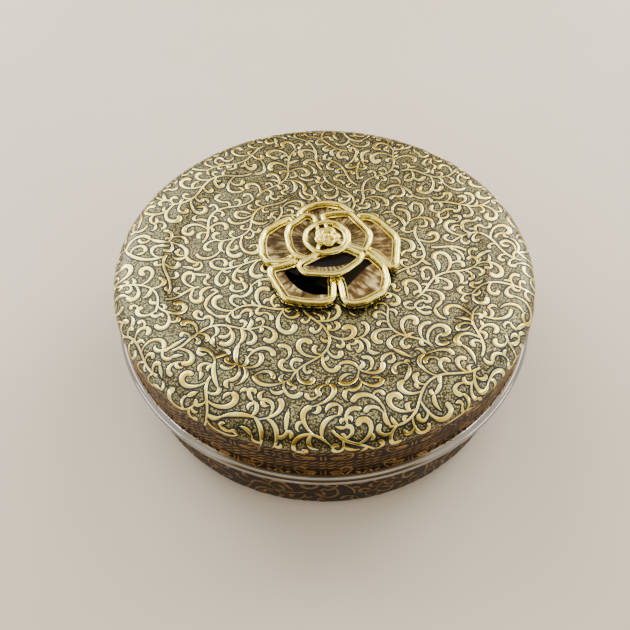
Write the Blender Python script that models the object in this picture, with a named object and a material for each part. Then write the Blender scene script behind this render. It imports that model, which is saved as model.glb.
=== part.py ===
"""Round spice box (masala dabba): base, lift-off lid, rose knob, seven cups and a spoon. Metres, +Z up.

The origin is the centre of the base's underside, on the surface that the box stands on.
"""

import math

import bmesh
import bpy
from mathutils import Vector

MM = 0.001

# Sheet metal and fits
WALL = 0.8 * MM                  # sheet of the base and the lid
CUP_WALL = 0.6 * MM
SEAT_GAP = 0.3 * MM              # between pieces that rest on or pass through each other
LID_FIT = 0.4 * MM               # radial play of the lid on the base's rolled edge

# Base
BASE_RADIUS = 90.0 * MM          # outside of the straight wall
BASE_CORNER = 8.0 * MM           # outer radius between floor and wall
BASE_BEAD = 1.0 * MM             # radius of the rolled top edge
BASE_BEAD_INSET = 0.4 * MM       # the roll's centre, inside the wall's outer face

# Lid
LID_SHOULDER_HEIGHT = 57.4 * MM  # where the skirt turns into the shoulder
LID_SHOULDER_RUN = 9.5 * MM      # radial width of the shoulder
LID_SHOULDER_RISE = 6.5 * MM
LID_STEP_INNER = 64.0 * MM       # the sunk middle starts inside this slope
LID_STEP_OUTER = 71.0 * MM
LID_STEP_DROP = 1.8 * MM
LID_EDGE_HEIGHT = 36.0 * MM      # centre of the curled lower edge
LID_EDGE_PROUD = 3.2 * MM        # how far the curl stands out from the skirt
LID_EDGE_BEAD = 1.9 * MM         # radius of the curl
LID_EDGE_COVE = 2.3 * MM         # radius of the flare above the curl

# Cups
OUTER_CUPS = 6
CUP_GAP = 1.0 * MM               # between neighbouring rims
CUP_WALL_GAP = 1.8 * MM          # between the outer cups and the base's rolled edge
CUP_HEADROOM = 22.2 * MM         # between the rims and the sunk middle of the lid
CUP_BEAD = 0.7 * MM              # radius of the rolled rim
CUP_TAPER = 3.9 * MM             # how much narrower the foot is than the mouth
CUP_CORNER = 4.0 * MM

# Rose knob, its screw and its washer
SCREW_RADIUS = 1.85 * MM
SCREW_GRIP = 5.0 * MM            # length of thread inside the knob
SCREW_HEAD_RADIUS = 3.8 * MM
SCREW_HEAD_HEIGHT = 2.4 * MM
SCREW_HEAD_DOME = 1.4 * MM       # rounded part of the head
WASHER_RADIUS = 6.0 * MM
WASHER_THICKNESS = 0.8 * MM
ROSE_FOOT_RADIUS = 9.0 * MM
ROSE_FOOT_HEIGHT = 2.3 * MM      # clear height under the petals
ROSE_CORE_RADIUS = 10.0 * MM
PETAL_EDGE = 1.7 * MM            # width of a petal's raised edge
PETAL_HOLLOW = 0.9 * MM          # depth of a petal inside its edge
PETAL_STAGGER = 0.12 * MM        # each petal lies a little higher than the one before
OUTER_PETAL_HEIGHT = 1.6 * MM
MIDDLE_PETAL_RISE = 0.5 * MM     # underside of the middle petals over that of the outer ones
MIDDLE_PETAL_HEIGHT = 3.2 * MM
HEART_CENTRE = (1.5 * MM, 2.5 * MM)
HEART_RADIUS = 11.0 * MM
HEART_HEIGHT = 2.6 * MM
HEART_SIDES = 10
BUD_RADIUS = 5.6 * MM
BUD_TOP_SHARE = 0.8              # of its radius and height, where the bud's cone turns flatter
BUD_HEIGHT = 3.8 * MM            # above the core

# Spoon
SPOON_OVERHANG = 11.5 * MM       # handle beyond the centre cup's rim
SPOON_THICKNESS = 0.8 * MM
SPOON_BOWL_LENGTH = 24.0 * MM
SPOON_BOWL_HALF_WIDTH = 8.0 * MM
SPOON_BOWL_DEPTH = 3.6 * MM
SPOON_NECK_HALF_WIDTH = 1.7 * MM
SPOON_END_HALF_WIDTH = 2.4 * MM
SPOON_TIP_HALF_WIDTH = 0.5 * MM
SPOON_TIP_INSET = 5.0 * MM       # between the bowl's tip and the side of the cup's foot
SPOON_SEAT_GAP = 0.6 * MM        # under the tip and over the rim, measured straight up

# Facets
LARGE_SIDES = 60
CUP_SIDES = 30
SMALL_SIDES = 20
SPOON_STATIONS = 18
SPOON_ACROSS = 4

# Sizes that follow
base_bead_radius = BASE_RADIUS - BASE_BEAD_INSET
lid_skirt_inner = base_bead_radius + BASE_BEAD + LID_FIT
lid_skirt_outer = lid_skirt_inner + WALL
shoulder_centre = lid_skirt_outer - LID_SHOULDER_RUN
lid_top = LID_SHOULDER_HEIGHT + LID_SHOULDER_RISE
lid_disc_top = lid_top - LID_STEP_DROP
lid_disc_under = lid_disc_top - WALL
screw_hole_radius = SCREW_RADIUS + SEAT_GAP
cup_radius = (base_bead_radius - BASE_BEAD - CUP_WALL_GAP - CUP_GAP) / 3
cup_pitch = 2 * cup_radius + CUP_GAP
cup_foot_radius = cup_radius - 2 * CUP_BEAD - CUP_TAPER + CUP_WALL
cup_foot = WALL + SEAT_GAP
cup_top = lid_disc_under - CUP_HEADROOM
cup_height = cup_top - cup_foot
rose_under = lid_disc_top + SEAT_GAP
cup_floor = cup_foot + CUP_WALL
spoon_tip = Vector((SPOON_TIP_INSET - cup_foot_radius, 0, cup_floor + SPOON_SEAT_GAP + SPOON_THICKNESS))
spoon_over_rim = Vector((cup_radius, 0, cup_top + SPOON_SEAT_GAP + SPOON_THICKNESS))
spoon_length = (spoon_over_rim - spoon_tip).length + SPOON_OVERHANG

# Petal outlines in plan, in millimetres from the screw
OUTER_PETALS = {
    "back": [(-9.5, 12), (-13, 20.5), (-10, 26), (-4, 29), (2, 30), (9, 28.3), (14.5, 23), (13, 12)],
    "left": [(-8, 9), (-15, 20), (-21, 16.5), (-27.5, 10), (-28.7, 4), (-27.5, -6), (-24, -10.3),
             (-16, -10), (-8, -4)],
    "lower_left": [(-8, -4), (-16, -9), (-24, -11.5), (-23.5, -17), (-16.5, -30), (-8, -32),
                   (1, -32.5), (5.5, -29.5), (5.5, -20), (2, -8)],
    "lower_right": [(2, -8), (6, -22), (7, -30.5), (11, -33), (17, -32), (26, -26), (28, -18),
                    (27, -11), (21, -3.5), (9, -2)],
    "right": [(9, -2), (21, -4), (28.5, -13.8), (32, -12), (34, 5), (32, 9), (26, 17.5), (22, 20.7),
              (15, 21), (8, 9)],
}
MIDDLE_PETALS = {
    "left": [(-3, 17.5), (-9, 19), (-16.5, 11), (-17.5, 5.5), (-16, -2.5), (-13.5, -7.5),
             (-8, -10.5), (-3, -10), (0, 0.5)],
    "upper": [(-2, 18), (5, 20), (13, 20), (18, 12.5), (22, 6), (21, -0.5), (18, -6), (12, -3.5),
              (2, 1.5)],
    "lower": [(-11, -11), (-11.5, -15), (-8, -19), (0, -19.5), (6.5, -19.5), (11, -16.5),
              (17, -10.5), (18, -6), (10, -1.5), (-3, -5.5)],
}


def clear_scene():
    for obj in list(bpy.data.objects):
        bpy.data.objects.remove(obj, do_unlink=True)


def make_material(name, colour, roughness, metallic):
    material = bpy.data.materials.new(name)
    material.use_nodes = True
    shader = material.node_tree.nodes["Principled BSDF"]
    shader.inputs["Base Color"].default_value = (*colour, 1.0)
    shader.inputs["Roughness"].default_value = roughness
    shader.inputs["Metallic"].default_value = metallic
    material.diffuse_color = (*colour, 1.0)
    return material


def add_object(name, bm, material):
    bmesh.ops.recalc_face_normals(bm, faces=bm.faces)
    mesh = bpy.data.meshes.new(name)
    bm.to_mesh(mesh)
    bm.free()
    mesh.materials.append(material)
    mesh.shade_smooth()
    mesh.set_sharp_from_angle(angle=math.radians(35))
    obj = bpy.data.objects.new(name, mesh)
    bpy.context.collection.objects.link(obj)
    return obj


def arc(centre, radii, start, end, steps):
    """Points (r, z) on an elliptical arc, from start to end in degrees."""
    points = []
    for i in range(steps + 1):
        angle = math.radians(start + (end - start) * i / steps)
        points.append((centre[0] + radii[0] * math.cos(angle), centre[1] + radii[1] * math.sin(angle)))
    return points


def turned(profile, sides, closed):
    """A bmesh turned about Z. An open profile starts and ends on the axis."""
    bm = bmesh.new()
    verts = [bm.verts.new((r, 0, z)) for r, z in profile]
    edges = [bm.edges.new(pair) for pair in zip(verts, verts[1:])]
    if closed:
        edges.append(bm.edges.new((verts[-1], verts[0])))
    bmesh.ops.spin(bm, geom=verts + edges, cent=(0, 0, 0), axis=(0, 0, 1), angle=2 * math.pi,
                   steps=sides, use_merge=True)
    bmesh.ops.remove_doubles(bm, verts=bm.verts, dist=0.001 * MM)
    return bm


def shoulder_under(radius):
    """Height of the shoulder's inner surface at this radius."""
    share = (radius - shoulder_centre) / (LID_SHOULDER_RUN - WALL)
    return LID_SHOULDER_HEIGHT + (LID_SHOULDER_RISE - WALL) * math.sqrt(max(0.0, 1 - share * share))


def base_height():
    """Height at which the base's rolled edge just clears the inside of the lid's shoulder."""
    reach = BASE_BEAD + SEAT_GAP
    limits = []
    for degrees in range(0, 181, 5):
        angle = math.radians(degrees)
        limits.append(shoulder_under(base_bead_radius + reach * math.cos(angle)) - reach * math.sin(angle))
    return min(limits) + BASE_BEAD


def base_profile():
    inner_corner = BASE_CORNER - WALL
    corner_centre = (BASE_RADIUS - BASE_CORNER, BASE_CORNER)
    bead_centre = (base_bead_radius, base_height() - BASE_BEAD)
    profile = [(0, 0)]
    profile += arc(corner_centre, (BASE_CORNER, BASE_CORNER), -90, 0, 4)
    profile += arc(bead_centre, (BASE_BEAD, BASE_BEAD), -60, 240, 6)
    profile += arc(corner_centre, (inner_corner, inner_corner), 0, -90, 4)
    profile.append((0, WALL))
    return profile


def lid_profile():
    """Closed outline from the screw hole over the top, down the skirt, round the curl and back inside."""
    edge_centre = (lid_skirt_outer + LID_EDGE_PROUD - LID_EDGE_BEAD, LID_EDGE_HEIGHT)
    cove_centre = (lid_skirt_outer + LID_EDGE_COVE, LID_EDGE_HEIGHT + LID_EDGE_BEAD + LID_EDGE_COVE)
    shoulder = (shoulder_centre, LID_SHOULDER_HEIGHT)
    inner_rise = LID_SHOULDER_RISE - WALL
    profile = [(screw_hole_radius, lid_disc_top), (LID_STEP_INNER, lid_disc_top),
               (LID_STEP_OUTER, lid_top)]
    profile += arc(shoulder, (LID_SHOULDER_RUN, LID_SHOULDER_RISE), 90, 0, 5)
    profile += arc(cove_centre, (LID_EDGE_COVE, LID_EDGE_COVE), 180, 238, 2)
    profile += arc(edge_centre, (LID_EDGE_BEAD, LID_EDGE_BEAD), 90, -150, 8)
    profile.append((lid_skirt_inner, LID_EDGE_HEIGHT))
    profile += arc(shoulder, (LID_SHOULDER_RUN - WALL, inner_rise), 0, 90, 5)
    profile += [(LID_STEP_OUTER, lid_top - WALL), (LID_STEP_INNER, lid_disc_under),
                (screw_hole_radius, lid_disc_under)]
    return profile


def cup_profile():
    """Open outline with the cup's foot at height 0."""
    inner_corner = CUP_CORNER - CUP_WALL
    corner_centre = (cup_foot_radius - CUP_CORNER, CUP_CORNER)
    bead_centre = (cup_radius - CUP_BEAD, cup_height - CUP_BEAD)
    profile = [(0, 0)]
    profile += arc(corner_centre, (CUP_CORNER, CUP_CORNER), -90, 0, 2)
    profile += arc(bead_centre, (CUP_BEAD, CUP_BEAD), -60, 200, 4)
    profile += arc(corner_centre, (inner_corner, inner_corner), 0, -90, 2)
    profile.append((0, CUP_WALL))
    return profile


def make_base(material):
    return add_object("base", turned(base_profile(), LARGE_SIDES, closed=False), material)


def make_lid(material):
    return add_object("lid", turned(lid_profile(), LARGE_SIDES, closed=True), material)


def make_cups(material):
    """One cup in the middle and the others in a ring, with gaps facing +X and -X."""
    places = [("cup_centre", 0.0, 0.0)]
    for i in range(OUTER_CUPS):
        angle = 2 * math.pi * (i + 0.5) / OUTER_CUPS
        places.append((f"cup_{i + 1}", cup_pitch * math.cos(angle), cup_pitch * math.sin(angle)))
    for name, x, y in places:
        cup = add_object(name, turned(cup_profile(), CUP_SIDES, closed=False), material)
        cup.location = (x, y, cup_foot)


def make_washer(material):
    top = lid_disc_under - SEAT_GAP
    under = top - WASHER_THICKNESS
    profile = [(screw_hole_radius, top), (WASHER_RADIUS, top),
               (WASHER_RADIUS, under), (screw_hole_radius, under)]
    return add_object("knob_washer", turned(profile, SMALL_SIDES, closed=True), material)


def make_screw(material):
    """Pan-head screw, head down, that comes up through the washer and the lid."""
    head_top = lid_disc_under - 2 * SEAT_GAP - WASHER_THICKNESS
    head_under = head_top - SCREW_HEAD_HEIGHT
    profile = [(0, head_under)]
    profile += arc((0, head_under + SCREW_HEAD_DOME), (SCREW_HEAD_RADIUS, SCREW_HEAD_DOME), -68, 0, 3)
    tip = rose_under + SCREW_GRIP
    profile += [(SCREW_HEAD_RADIUS, head_top), (SCREW_RADIUS, head_top), (SCREW_RADIUS, tip), (0, tip)]
    return add_object("knob_screw", turned(profile, SMALL_SIDES, closed=False), material)


def petal(name, outline, low, high, material):
    """A flat tray with a raised edge: the outline is extruded, its top inset and pushed down."""
    bm = bmesh.new()
    face = bm.faces.new([bm.verts.new((x, y, low)) for x, y in outline])
    top = bmesh.ops.extrude_face_region(bm, geom=[face])["geom"]
    moved = [item for item in top if isinstance(item, bmesh.types.BMVert)]
    top_face = [item for item in top if isinstance(item, bmesh.types.BMFace)]
    bmesh.ops.translate(bm, verts=moved, vec=(0, 0, high - low))
    bmesh.ops.recalc_face_normals(bm, faces=bm.faces)
    bmesh.ops.inset_region(bm, faces=top_face, thickness=PETAL_EDGE, depth=0)
    sunk = {vert for one in top_face for vert in one.verts}
    bmesh.ops.translate(bm, verts=list(sunk), vec=(0, 0, -PETAL_HOLLOW))
    return add_helper(name, bm, material)


def add_helper(name, bm, material):
    helper = add_object(name, bm, material)
    helper.hide_render = True
    helper.display_type = "WIRE"
    return helper


def heart_outline():
    points = []
    for i in range(HEART_SIDES):
        angle = 2 * math.pi * i / HEART_SIDES
        points.append((HEART_CENTRE[0] + HEART_RADIUS * math.cos(angle),
                       HEART_CENTRE[1] + HEART_RADIUS * math.sin(angle)))
    return points


def combine(target, helper, operation):
    modifier = target.modifiers.new(helper.name, "BOOLEAN")
    modifier.object = helper
    modifier.operation = operation
    modifier.solver = "EXACT"


def make_rose(material):
    """Foot and core turned in one, with the outer and middle petals, the heart and the bud joined on."""
    petals_low = rose_under + ROSE_FOOT_HEIGHT
    core_top = rose_under + SCREW_GRIP + SEAT_GAP
    foot = [(0, rose_under), (ROSE_FOOT_RADIUS, rose_under), (ROSE_FOOT_RADIUS, petals_low),
            (ROSE_CORE_RADIUS, petals_low + MIDDLE_PETAL_RISE), (ROSE_CORE_RADIUS, core_top), (0, core_top)]
    rose = add_object("rose_knob", turned(foot, SMALL_SIDES, closed=False), material)
    helpers = []
    layers = [("outer", OUTER_PETALS, petals_low, OUTER_PETAL_HEIGHT),
              ("middle", MIDDLE_PETALS, petals_low + MIDDLE_PETAL_RISE, MIDDLE_PETAL_HEIGHT)]
    for layer, outlines, low, height in layers:
        for i, (side, outline) in enumerate(outlines.items()):
            lift = i * PETAL_STAGGER
            points = [(x * MM, y * MM) for x, y in outline]
            helpers.append(petal(f"petal_{layer}_{side}", points, low + lift, low + lift + height, material))
    heart_low = core_top - PETAL_HOLLOW
    helpers.append(petal("heart", heart_outline(), heart_low, heart_low + HEART_HEIGHT, material))
    bud_height = BUD_HEIGHT + PETAL_HOLLOW
    bud_shoulder = (BUD_TOP_SHARE * BUD_RADIUS, BUD_TOP_SHARE * bud_height)
    bud = turned([(0, 0), (BUD_RADIUS, 0), bud_shoulder, (0, bud_height)], SMALL_SIDES, closed=False)
    bmesh.ops.translate(bud, verts=bud.verts, vec=(*HEART_CENTRE, heart_low))
    helpers.append(add_helper("bud", bud, material))
    for helper in helpers:
        combine(rose, helper, "UNION")
    hole = [(0, rose_under - MM), (screw_hole_radius, rose_under - MM),
            (screw_hole_radius, core_top), (0, core_top)]
    combine(rose, add_helper("screw_hole", turned(hole, SMALL_SIDES, closed=False), material), "DIFFERENCE")
    return rose


def spoon_half_width(along):
    """Half the spoon's width at this distance from its tip."""
    if along < SPOON_BOWL_LENGTH:
        share = 2 * along / SPOON_BOWL_LENGTH - 1
        oval = SPOON_BOWL_HALF_WIDTH * math.sqrt(max(0.0, 1 - share * share))
        least = SPOON_NECK_HALF_WIDTH if share > 0 else SPOON_TIP_HALF_WIDTH
        return max(oval, least)
    share = (along - SPOON_BOWL_LENGTH) / (spoon_length - SPOON_BOWL_LENGTH)
    return SPOON_NECK_HALF_WIDTH + share * (SPOON_END_HALF_WIDTH - SPOON_NECK_HALF_WIDTH)


def spoon_sink(along, across):
    """Depth of the spoon below its straight line: a bowl at the tip, and flat along the handle."""
    share = 2 * along / SPOON_BOWL_LENGTH - 1
    if abs(share) >= 1:
        return 0.0
    return SPOON_BOWL_DEPTH * (1 - share * share) * (1 - across * across)


def make_spoon(material):
    """Lies in the centre cup: its tip by the foot on the -X side, its handle over the rim on the +X side."""
    bm = bmesh.new()
    rows = []
    for i in range(SPOON_STATIONS + 1):
        along = spoon_length * i / SPOON_STATIONS
        row = []
        for j in range(SPOON_ACROSS + 1):
            across = 2 * j / SPOON_ACROSS - 1
            row.append(bm.verts.new((along, across * spoon_half_width(along), -spoon_sink(along, across))))
        rows.append(row)
    for first, second in zip(rows, rows[1:]):
        for j in range(SPOON_ACROSS):
            bm.faces.new((first[j], second[j], second[j + 1], first[j + 1]))
    spoon = add_object("spoon", bm, material)
    solidify = spoon.modifiers.new("thickness", "SOLIDIFY")
    solidify.thickness = SPOON_THICKNESS
    solidify.offset = 1
    slope = math.atan2(spoon_over_rim.z - spoon_tip.z, spoon_over_rim.x - spoon_tip.x)
    spoon.location = spoon_tip
    spoon.rotation_euler = (0, -slope, 0)
    return spoon


def main():
    clear_scene()
    make_base(make_material("printed_base_sheet", (0.36, 0.27, 0.12), 0.35, 0.8))
    make_lid(make_material("printed_lid_sheet", (0.52, 0.44, 0.24), 0.32, 0.8))
    make_rose(make_material("gold_plated_casting", (0.72, 0.58, 0.24), 0.2, 1.0))
    make_screw(make_material("zinc_plated_steel", (0.6, 0.6, 0.58), 0.35, 1.0))
    make_washer(make_material("washer_steel", (0.55, 0.55, 0.55), 0.4, 1.0))
    make_cups(make_material("stainless_cup", (0.66, 0.66, 0.67), 0.22, 1.0))
    make_spoon(make_material("stainless_spoon", (0.7, 0.7, 0.71), 0.18, 1.0))


main()
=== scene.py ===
# %% [markdown]
# A round printed spice box, built around its packed engineering model.
# The model gives every size and place. This script gives the looks: pressed sheet with printed
# scrolls, a curled steel edge, a cast rose, spun cups and a small spoon.

import math
import random

import bpy
import numpy as np
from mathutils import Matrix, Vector


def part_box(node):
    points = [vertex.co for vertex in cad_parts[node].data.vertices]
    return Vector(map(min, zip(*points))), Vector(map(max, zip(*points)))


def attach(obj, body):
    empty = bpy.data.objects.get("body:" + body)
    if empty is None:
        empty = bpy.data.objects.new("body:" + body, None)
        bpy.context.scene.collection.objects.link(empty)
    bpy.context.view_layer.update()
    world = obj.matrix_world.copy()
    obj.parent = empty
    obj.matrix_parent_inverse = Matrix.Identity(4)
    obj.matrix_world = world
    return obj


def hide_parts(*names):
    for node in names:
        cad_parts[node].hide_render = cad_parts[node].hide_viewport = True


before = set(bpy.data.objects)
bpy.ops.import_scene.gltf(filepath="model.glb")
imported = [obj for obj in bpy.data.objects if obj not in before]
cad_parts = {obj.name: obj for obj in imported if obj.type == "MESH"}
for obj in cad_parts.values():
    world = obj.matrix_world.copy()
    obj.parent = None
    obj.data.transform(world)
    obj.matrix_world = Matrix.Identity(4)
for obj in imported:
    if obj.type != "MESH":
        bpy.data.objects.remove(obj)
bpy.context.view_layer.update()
MM = 0.001
print("frame:", sorted(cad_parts))

# %% [markdown]
# Colours are written as the hex values that an artist would pick on screen. The renderer adds light
# in linear numbers, so one function turns each hex value into linear red, green and blue.

# %% Colours and nodes


def colour(hex_value, alpha=1.0):
    """An sRGB hex value as linear RGBA."""
    parts = [int(hex_value[i:i + 2], 16) / 255 for i in (1, 3, 5)]
    return [c / 12.92 if c <= 0.04045 else ((c + 0.055) / 1.055) ** 2.4 for c in parts] + [alpha]


def add_node(tree, kind, inputs=None, stops=None, out=0, to=None, **settings):
    """Adds a node with its settings, inputs and a ramp's stops. It returns the output named by out,
    and links it to the socket given by to. An input's value is a number, a colour or an output."""
    node = tree.nodes.new("ShaderNode" + kind)
    for key, value in settings.items():
        setattr(node, key, value)
    for key, value in (inputs or {}).items():
        if isinstance(value, bpy.types.NodeSocket):
            tree.links.new(value, node.inputs[key])
        else:
            node.inputs[key].default_value = value
    for number, (place, shade) in enumerate(stops or []):
        band = node.color_ramp.elements
        element = band[number] if number < len(band) else band.new(place)
        element.position = place
        element.color = colour(shade)
    if to:
        tree.links.new(node.outputs[out], to)
    return node.outputs[out]


def new_material(name, **constants):
    """A Principled material with its constants on the shader's own sockets. It returns the material,
    its node tree, the shader's input sockets, and a place on the object as a pattern's start."""
    material = bpy.data.materials.new(name)
    material.use_nodes = True
    tree = material.node_tree
    sockets = tree.nodes["Principled BSDF"].inputs
    for key, value in constants.items():
        sockets[key.replace("_", " ")].default_value = value
    return material, tree, sockets, add_node(tree, "TexCoord", out="Object")


# %% [markdown]
# The camera looks down at the box at about 54 degrees from close by, so the front of the lid looks
# larger than its back. It is placed by a distance and an elevation from a point on the box's axis,
# and is then turned a little: sideways, up, and rolled, as a hand-held camera is.

# %% Camera
FILM = 36.0                       # sensor width in millimetres
FOCAL = 34.29
CAMERA_DISTANCE = 312.2 * MM
CAMERA_ELEVATION = math.radians(54.3)
CAMERA_YAW = math.radians(-0.8)   # aim turned to the side
CAMERA_PITCH = math.radians(1.8)  # aim raised
CAMERA_ROLL = math.radians(-1.0)
AXIS_HEIGHT = 1.4 * MM            # height of the point that the distance is measured from

camera_place = Vector((0, -math.cos(CAMERA_ELEVATION), math.sin(CAMERA_ELEVATION))) * CAMERA_DISTANCE
centre_way = -camera_place.normalized()
camera_place.z += AXIS_HEIGHT
side_way = Vector((1, 0, 0))
up_way = side_way.cross(centre_way)
aim = centre_way * math.cos(CAMERA_YAW) * math.cos(CAMERA_PITCH)
aim += side_way * math.sin(CAMERA_YAW) * math.cos(CAMERA_PITCH) + up_way * math.sin(CAMERA_PITCH)
bpy.ops.object.camera_add(location=camera_place)
camera = bpy.context.object
camera.data.sensor_width = FILM
camera.data.lens = FOCAL
camera.data.clip_start = 0.01
level_side = aim.cross(Vector((0, 0, 1))).normalized()
level_up = level_side.cross(aim)
rolled_side = level_side * math.cos(CAMERA_ROLL) + level_up * math.sin(CAMERA_ROLL)
rolled_up = level_up * math.cos(CAMERA_ROLL) - level_side * math.sin(CAMERA_ROLL)
turn = aim.to_track_quat("-Z", "Y").to_matrix().to_4x4()
for row in range(3):
    turn[row][0] = rolled_side[row]
    turn[row][1] = rolled_up[row]
    turn[row][2] = -aim[row]
turn.translation = camera_place
camera.matrix_world = turn
bpy.context.scene.camera = camera
print("camera at", [round(c / MM) for c in camera_place], "mm")

# %% [markdown]
# Soft light comes from large lamps: rectangles that face the box. The smaller a lamp looks from the
# box, the sharper is its reflection: the windows are large, the streak and edge lamps are slim.

# %% Lamps


def add_panel(name, place, target, size, power, tint):
    """A soft rectangular lamp that faces its target."""
    bpy.ops.object.light_add(type="AREA", location=place)
    light = bpy.context.object
    light.name = name
    light.data.shape = "RECTANGLE"
    light.data.size, light.data.size_y = size
    light.data.energy = power
    light.data.color = colour(tint)[:3]
    way = Vector(target) - Vector(place)
    light.rotation_euler = way.to_track_quat("-Z", "Y").to_euler()


add_panel("window_left", (-0.56, 0.74, 0.8), (0, 0, 0.05), (0.8, 0.7), 9.5, "#F4F8F0")
add_panel("window_right", (0.6, 0.7, 0.78), (0, 0, 0.05), (0.7, 0.7), 8.5, "#FFFCEC")
for side in (-1, 1):
    name = "left" if side < 0 else "right"
    # A low strip behind draws a thin bright streak along the shoulder, and one beside lights the edge.
    add_panel("streak_" + name, (0.8 * side, 0.6, 0.44), (0, 0, 0.05), (0.5, 0.22), 4.2, "#FBFCFF")
    add_panel("edge_" + name, (0.95 * side, -0.25, 0.24), (0, 0, 0.04), (0.5, 0.14), 2.0, "#E4ECFF")

# %% [markdown]
# The box stands on a pale board. Polished metal only shows what it reflects, so the room is bright
# overhead and brown towards the horizon: a flat lid then looks paler in front than at the back.

# %% Floor and room
bpy.ops.mesh.primitive_plane_add(size=6, location=(0, 0, 0))
floor = bpy.context.object
floor.name = "floor"
# Painted board: matt, with a faint cloudiness.
floor_paint, tree, sockets, _ = new_material("matt_pale_board", Roughness=0.6)
cloud = add_node(tree, "TexNoise", {"Scale": 40.0, "Detail": 4.0})
add_node(tree, "ValToRGB", {0: cloud}, stops=[(0.3, "#CFC3B6"), (0.7, "#D6CBBF")], to=sockets[0])
floor.data.materials.append(floor_paint)

world = bpy.data.worlds.new("soft_room")
bpy.context.scene.world = world
world.use_nodes = True
tree = world.node_tree
background = tree.nodes["Background"].inputs
background["Strength"].default_value = 1.6
way = add_node(tree, "TexCoord", out="Generated")
# Brightness follows the direction: up is bright, and the side behind the viewer is darkest.
slant = add_node(tree, "VectorMath", {0: way, 1: (0.0, 0.15, 1.0)}, out="Value", operation="DOT_PRODUCT")
# Pale walls to the left and right make the steel edge bright at both sides and dark in front.
across = add_node(tree, "SeparateXYZ", {0: way})
sideways = add_node(tree, "Math", {0: across}, operation="ABSOLUTE")
walls = add_node(tree, "MapRange", {0: sideways, 1: 0.45, 2: 0.75, 3: 0.0, 4: 0.85})
level = add_node(tree, "Math", {0: slant, 1: walls}, operation="ADD")
sky = add_node(tree, "ValToRGB", {0: level},
               stops=[(0.0, "#2E2218"), (0.2, "#6A5740"), (0.64, "#86724E"), (0.75, "#AE996E"),
                      (0.84, "#EADEBE"), (1.0, "#FFF9E6")])
# The room is for the reflections. What is seen of it past the floor is an even pale backdrop.
seen = add_node(tree, "LightPath", out="Is Camera Ray")
add_node(tree, "Mix", {0: seen, 6: sky, 7: colour("#B9B0A7")}, data_type="RGBA", out=2,
         to=background["Color"])
print("floor and room:", floor.name, world.name)

# %% [markdown]
# Lid and base are pressed from flat sheet, so each is one outline turned about the box's axis.
# The outline is drawn point by point with extrude, as by hand, then spun in edit mode. A cylinder
# could be bevelled instead, but an outline holds every bend of the sheet in one short list.

# %% Turned shapes


def deselect_all():
    """Leaves edit mode and selects nothing, because an operator acts on all that is selected."""
    if bpy.context.mode != "OBJECT":
        bpy.ops.object.mode_set(mode="OBJECT")
    bpy.ops.object.select_all(action="DESELECT")


def draw_outline(name, points, closed):
    """A line of (x, y, z) points, drawn by extruding one vertex. It leaves edit mode on."""
    deselect_all()
    bpy.ops.mesh.primitive_plane_add(size=1 * MM, location=(0, 0, 0))
    obj = bpy.context.object
    obj.name = name
    obj.data.name = name
    bpy.ops.object.mode_set(mode="EDIT")
    bpy.ops.mesh.select_mode(type="VERT")
    bpy.ops.mesh.select_all(action="SELECT")
    bpy.ops.mesh.merge(type="CENTER")
    bpy.ops.transform.translate(value=points[0])
    for here, there in zip(points, points[1:]):
        step = [b - a for a, b in zip(here, there)]
        bpy.ops.mesh.extrude_region_move(TRANSFORM_OT_translate={"value": step})
    if closed:
        bpy.ops.object.mode_set(mode="OBJECT")
        obj.data.vertices[0].select = True    # the last point is still selected
        bpy.ops.object.mode_set(mode="EDIT")
        bpy.ops.mesh.edge_face_add()
    return obj


# %% [markdown]
# A finished outline is spun round an upright axis, which gives a closed shell with even faces. Where
# the spin comes full circle, its first and last rows lie on each other, so doubles are merged, and
# only then are the normals turned to point out.

# %% Spinning


def arc(centre, radii, start, end, steps):
    """Points (r, z) on an elliptical arc, from start to end in degrees."""
    angles = [math.radians(start + (end - start) * i / steps) for i in range(steps + 1)]
    return [(centre[0] + radii[0] * math.cos(a), centre[1] + radii[1] * math.sin(a)) for a in angles]


def spin_profile(name, profile, sides, closed=False, smooth=38, centre=(0, 0)):
    """Turns a line of (r, z) points about an upright axis. An open line starts and ends on it.
    Shading is smooth across edges that bend by less than the given degrees."""
    cx, cy = centre
    obj = draw_outline(name, [(cx + r, cy, z) for r, z in profile], closed)
    bpy.ops.mesh.select_all(action="SELECT")
    bpy.ops.mesh.spin(steps=sides, angle=2 * math.pi, center=(cx, cy, 0), axis=(0, 0, 1))
    bpy.ops.mesh.select_all(action="SELECT")
    bpy.ops.mesh.remove_doubles(threshold=0.002 * MM)
    bpy.ops.mesh.normals_make_consistent(inside=False)
    bpy.ops.object.mode_set(mode="OBJECT")
    bpy.ops.object.shade_smooth_by_angle(angle=math.radians(smooth))
    return obj


def give_materials(obj, materials, choose=None):
    """Adds the materials. choose(centre, normal) gives the number of each face's material."""
    for material in materials:
        obj.data.materials.append(material)
    for face in obj.data.polygons if choose else []:
        face.material_index = choose(face.center, face.normal)


# %% [markdown]
# The lid's sizes come from the frame's box: its widest radius is the curled edge, its top is the
# raised ring. The middle is sunk a little, so the ring stands round it as a soft step. The outline
# runs from the screw hole over the outside, round the curled edge and back along the inside.

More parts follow.
